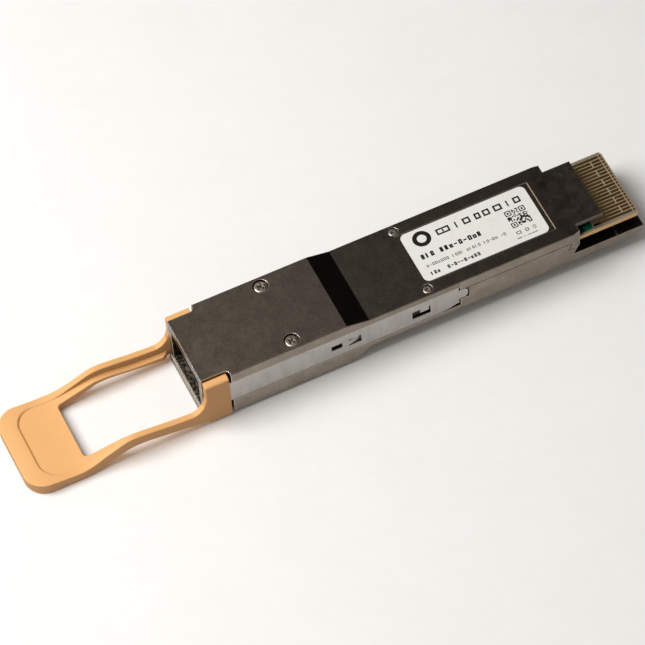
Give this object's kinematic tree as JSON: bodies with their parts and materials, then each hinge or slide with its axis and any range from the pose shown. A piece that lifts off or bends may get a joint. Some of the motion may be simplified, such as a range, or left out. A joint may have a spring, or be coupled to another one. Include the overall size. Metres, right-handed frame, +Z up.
{
  "type": "optical transceiver module",
  "caption": "Pluggable optical transceiver: stepped die-cast shell with pull-tab slide latch, multi-fibre optical port and edge-contact card.",
  "frame": {"origin": "on the cage stop plane, where the wider nose ends and the in-cage body begins, on the centre line of the lower bearing face", "axes": "+X towards the host connector (insertion direction), +Z up towards the heat-sink side, +Y to the module's left"},
  "size_m": [0.1299, 0.0196, 0.0126],
  "materials": {
    "plated_casting": "satin dark nickel plating over die-cast zinc",
    "stamped_stainless": "rolled stainless strip",
    "tab_elastomer": "fine matt moulded elastomer, light apricot",
    "black_moulding": "matt black moulded thermoplastic",
    "ferrule_resin": "filled precision moulding resin",
    "bright_steel": "bright drawn steel",
    "screw_steel": "nickel-plated screw steel",
    "boot_rubber": "soft black boot",
    "fibre_coating": "thin clear-over-aqua fibre coating",
    "amber_lens": "amber optical moulding",
    "semiconductor": "polished die",
    "thermal_pad": "soft filled silicone pad",
    "board_laminate": "green solder mask over glass laminate",
    "gold_plating": "hard gold contact plating",
    "chip_package": "moulded chip package",
    "ceramic_chip": "ceramic chip capacitor with tinned ends",
    "label_film": "white polyester label film"
  },
  "bodies": {
    "shell": {"bottom_housing": "plated_casting", "top_housing": "plated_casting", "mpo_receptacle": "black_moulding", "mt_ferrule": "ferrule_resin", "guide_pins": "bright_steel", "pin_clamp": "bright_steel", "ferrule_boot": "boot_rubber", "fibre_ribbon_transmit": "fibre_coating", "fibre_ribbon_receive": "fibre_coating", "lens_block_transmit": "amber_lens", "lens_block_receive": "amber_lens", "lens_clip": "bright_steel", "laser_array": "semiconductor", "photodiode_array": "semiconductor", "laser_driver": "semiconductor", "receiver_amplifier": "semiconductor", "optics_thermal_pad": "thermal_pad", "circuit_board": "board_laminate", "edge_pads_top": "gold_plating", "edge_pads_bottom": "gold_plating", "signal_processor": "chip_package", "processor_thermal_pad": "thermal_pad", "capacitors": "ceramic_chip", "power_inductors": "chip_package", "microcontroller": "chip_package", "oscillator": "bright_steel", "voltage_regulators": "chip_package", "nose_screws": "screw_steel", "rear_screws": "screw_steel", "label": "label_film", "return_spring_left": "bright_steel", "return_spring_right": "bright_steel"},
    "latch": {"pull_tab": "tab_elastomer", "latch_arm_left": "stamped_stainless", "latch_arm_right": "stamped_stainless"},
    "hook_left": {"mpo_hook_left": "black_moulding"},
    "hook_right": {"mpo_hook_right": "black_moulding"}
  },
  "joints": [
    {"name": "latch_slide", "type": "slide", "parent": "shell", "child": "latch", "axis": [-1, 0, 0], "range_m": [0, 0.0028], "stiffness_N_per_m": 250, "springref_m": -0.004, "deforming": ["return_spring_left", "return_spring_right"]},
    {"name": "hook_left_flex", "type": "hinge", "parent": "shell", "child": "hook_left", "pos_m": [-0.0256, 0.0056, 0.00347], "axis": [0, 0, -1], "range_deg": [0, 3], "stiffness_Nm_per_rad": 0.01},
    {"name": "hook_right_flex", "type": "hinge", "parent": "shell", "child": "hook_right", "pos_m": [-0.0256, -0.0056, 0.00347], "axis": [0, 0, 1], "range_deg": [0, 3], "stiffness_Nm_per_rad": 0.01}
  ]
}
